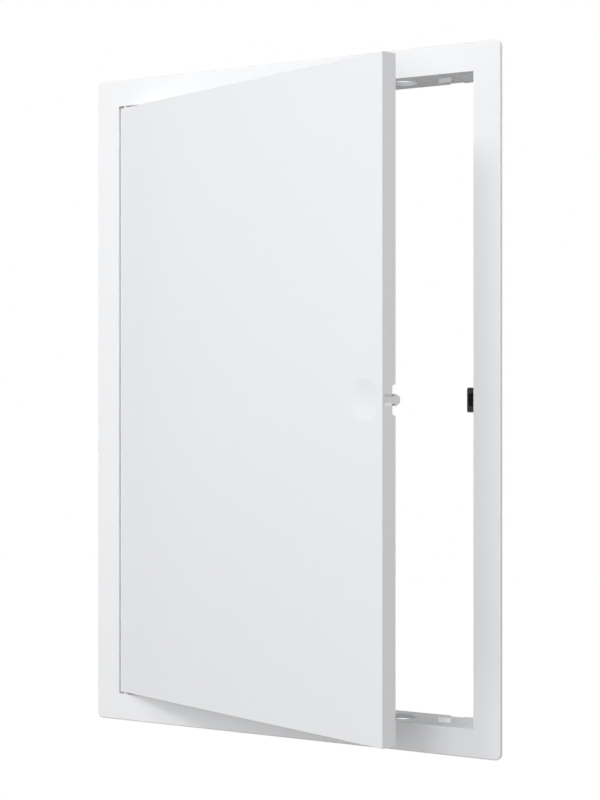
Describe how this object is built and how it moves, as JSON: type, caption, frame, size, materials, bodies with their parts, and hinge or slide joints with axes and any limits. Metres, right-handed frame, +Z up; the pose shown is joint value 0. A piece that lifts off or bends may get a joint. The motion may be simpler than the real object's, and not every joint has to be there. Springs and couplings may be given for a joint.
{
  "type": "hinged access panel",
  "caption": "White plastic access hatch: a flanged frame with a deep lining and a flush leaf that swings on pins and snaps into a black clip.",
  "frame": {"origin": "centre of the clear opening, in the plane of the wall's face, which is the back of the flange", "axes": "+X to the right seen from the front, +Y into the wall, +Z up"},
  "size_m": [0.218, 0.0901, 0.318],
  "materials": {
    "frame_white": "satin white moulded plastic",
    "leaf_white": "satin white moulded plastic",
    "pin_white": "smooth natural white plastic",
    "nose_white": "smooth white plastic",
    "clip_black": "satin black plastic"
  },
  "bodies": {
    "frame": {"frame": "frame_white", "catch_clip": "clip_black"},
    "door": {"door_leaf": "leaf_white", "hinge_pin_upper": "pin_white", "hinge_pin_lower": "pin_white", "latch_nose": "nose_white"}
  },
  "joints": [
    {"name": "door_swing", "type": "hinge", "parent": "frame", "child": "door", "pos_m": [-0.0928, 0, 0], "axis": [0, 0, -1], "range_deg": [-20, 85]}
  ]
}
